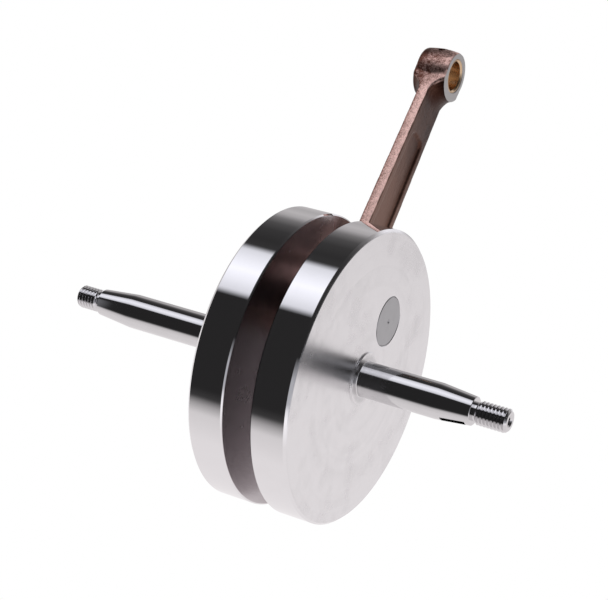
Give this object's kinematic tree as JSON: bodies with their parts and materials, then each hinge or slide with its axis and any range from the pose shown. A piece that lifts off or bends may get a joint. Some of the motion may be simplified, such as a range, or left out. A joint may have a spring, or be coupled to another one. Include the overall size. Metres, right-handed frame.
{
  "type": "crankshaft",
  "caption": "Built-up single-cylinder crankshaft: two round flywheel webs with tapered, threaded main shafts, a pressed crankpin and an I-section connecting rod with a bushed small end.",
  "frame": {"origin": "on the crank (main shaft) axis, midway between the inner faces of the two webs", "axes": "+X along the crank axis towards the shorter shaft, +Z from the crank axis to the crankpin, +Y completes the right-handed frame; at rest the rod leans 3 degrees from +Z towards -Y"},
  "size_m": [0.1665, 0.1, 0.1731],
  "materials": {
    "turned_steel": "fine-turned satin faces, polished rims and shafts",
    "pin_steel": "ground, slightly darker than the webs",
    "bearing_steel": "polished hardened steel",
    "coppered_steel": "matte copper plating on a forging, bare machined steel on the small-end faces",
    "bush_bronze": "bored bronze",
    "cage_bronze": "machined bronze"
  },
  "bodies": {
    "crank": {"left_crank_half": "turned_steel", "right_crank_half": "turned_steel", "crankpin": "pin_steel"},
    "rod": {"connecting_rod": "coppered_steel", "small_end_bush": "bush_bronze"},
    "cage": {"big_end_cage": "cage_bronze"},
    "needle_01": {"big_end_needle_01": "bearing_steel"},
    "needle_02": {"big_end_needle_02": "bearing_steel"},
    "needle_03": {"big_end_needle_03": "bearing_steel"},
    "needle_04": {"big_end_needle_04": "bearing_steel"},
    "needle_05": {"big_end_needle_05": "bearing_steel"},
    "needle_06": {"big_end_needle_06": "bearing_steel"},
    "needle_07": {"big_end_needle_07": "bearing_steel"},
    "needle_08": {"big_end_needle_08": "bearing_steel"},
    "needle_09": {"big_end_needle_09": "bearing_steel"},
    "needle_10": {"big_end_needle_10": "bearing_steel"},
    "needle_11": {"big_end_needle_11": "bearing_steel"},
    "needle_12": {"big_end_needle_12": "bearing_steel"},
    "needle_13": {"big_end_needle_13": "bearing_steel"},
    "needle_14": {"big_end_needle_14": "bearing_steel"},
    "left_washer": {"left_thrust_washer": "bearing_steel"},
    "right_washer": {"right_thrust_washer": "bearing_steel"}
  },
  "joints": [
    {"name": "rod_swing", "type": "hinge", "parent": "crank", "child": "rod", "pos_m": [0, 0, 0.0215], "axis": [1, 0, 0], "continuous": true},
    {"name": "cage_orbit", "type": "hinge", "parent": "crank", "child": "cage", "pos_m": [0, 0, 0.0215], "axis": [1, 0, 0], "continuous": true},
    {"name": "needle_01_spin", "type": "hinge", "parent": "cage", "child": "needle_01", "pos_m": [0, 0, 0.03153], "axis": [1, 0, 0], "continuous": true},
    {"name": "needle_02_spin", "type": "hinge", "parent": "cage", "child": "needle_02", "pos_m": [0, 0.00435, 0.03054], "axis": [1, 0, 0], "continuous": true},
    {"name": "needle_03_spin", "type": "hinge", "parent": "cage", "child": "needle_03", "pos_m": [0, 0.00784, 0.02775], "axis": [1, 0, 0], "continuous": true},
    {"name": "needle_04_spin", "type": "hinge", "parent": "cage", "child": "needle_04", "pos_m": [0, 0.00978, 0.02373], "axis": [1, 0, 0], "continuous": true},
    {"name": "needle_05_spin", "type": "hinge", "parent": "cage", "child": "needle_05", "pos_m": [0, 0.00978, 0.01927], "axis": [1, 0, 0], "continuous": true},
    {"name": "needle_06_spin", "type": "hinge", "parent": "cage", "child": "needle_06", "pos_m": [0, 0.00784, 0.01525], "axis": [1, 0, 0], "continuous": true},
    {"name": "needle_07_spin", "type": "hinge", "parent": "cage", "child": "needle_07", "pos_m": [0, 0.00435, 0.01246], "axis": [1, 0, 0], "continuous": true},
    {"name": "needle_08_spin", "type": "hinge", "parent": "cage", "child": "needle_08", "pos_m": [0, 0, 0.01147], "axis": [1, 0, 0], "continuous": true},
    {"name": "needle_09_spin", "type": "hinge", "parent": "cage", "child": "needle_09", "pos_m": [0, -0.00435, 0.01246], "axis": [1, 0, 0], "continuous": true},
    {"name": "needle_10_spin", "type": "hinge", "parent": "cage", "child": "needle_10", "pos_m": [0, -0.00784, 0.01525], "axis": [1, 0, 0], "continuous": true},
    {"name": "needle_11_spin", "type": "hinge", "parent": "cage", "child": "needle_11", "pos_m": [0, -0.00978, 0.01927], "axis": [1, 0, 0], "continuous": true},
    {"name": "needle_12_spin", "type": "hinge", "parent": "cage", "child": "needle_12", "pos_m": [0, -0.00978, 0.02373], "axis": [1, 0, 0], "continuous": true},
    {"name": "needle_13_spin", "type": "hinge", "parent": "cage", "child": "needle_13", "pos_m": [0, -0.00784, 0.02775], "axis": [1, 0, 0], "continuous": true},
    {"name": "needle_14_spin", "type": "hinge", "parent": "cage", "child": "needle_14", "pos_m": [0, -0.00435, 0.03054], "axis": [1, 0, 0], "continuous": true},
    {"name": "left_washer_spin", "type": "hinge", "parent": "crank", "child": "left_washer", "pos_m": [0, 0, 0.0215], "axis": [1, 0, 0], "continuous": true},
    {"name": "right_washer_spin", "type": "hinge", "parent": "crank", "child": "right_washer", "pos_m": [0, 0, 0.0215], "axis": [1, 0, 0], "continuous": true}
  ],
  "couplings": [
    {"joint": "cage_orbit", "follows": "rod_swing", "ratio": 0.5763},
    {"joint": "needle_01_spin", "follows": "rod_swing", "ratio": 3.2771},
    {"joint": "needle_02_spin", "follows": "rod_swing", "ratio": 3.2771},
    {"joint": "needle_03_spin", "follows": "rod_swing", "ratio": 3.2771},
    {"joint": "needle_04_spin", "follows": "rod_swing", "ratio": 3.2771},
    {"joint": "needle_05_spin", "follows": "rod_swing", "ratio": 3.2771},
    {"joint": "needle_06_spin", "follows": "rod_swing", "ratio": 3.2771},
    {"joint": "needle_07_spin", "follows": "rod_swing", "ratio": 3.2771},
    {"joint": "needle_08_spin", "follows": "rod_swing", "ratio": 3.2771},
    {"joint": "needle_09_spin", "follows": "rod_swing", "ratio": 3.2771},
    {"joint": "needle_10_spin", "follows": "rod_swing", "ratio": 3.2771},
    {"joint": "needle_11_spin", "follows": "rod_swing", "ratio": 3.2771},
    {"joint": "needle_12_spin", "follows": "rod_swing", "ratio": 3.2771},
    {"joint": "needle_13_spin", "follows": "rod_swing", "ratio": 3.2771},
    {"joint": "needle_14_spin", "follows": "rod_swing", "ratio": 3.2771}
  ]
}
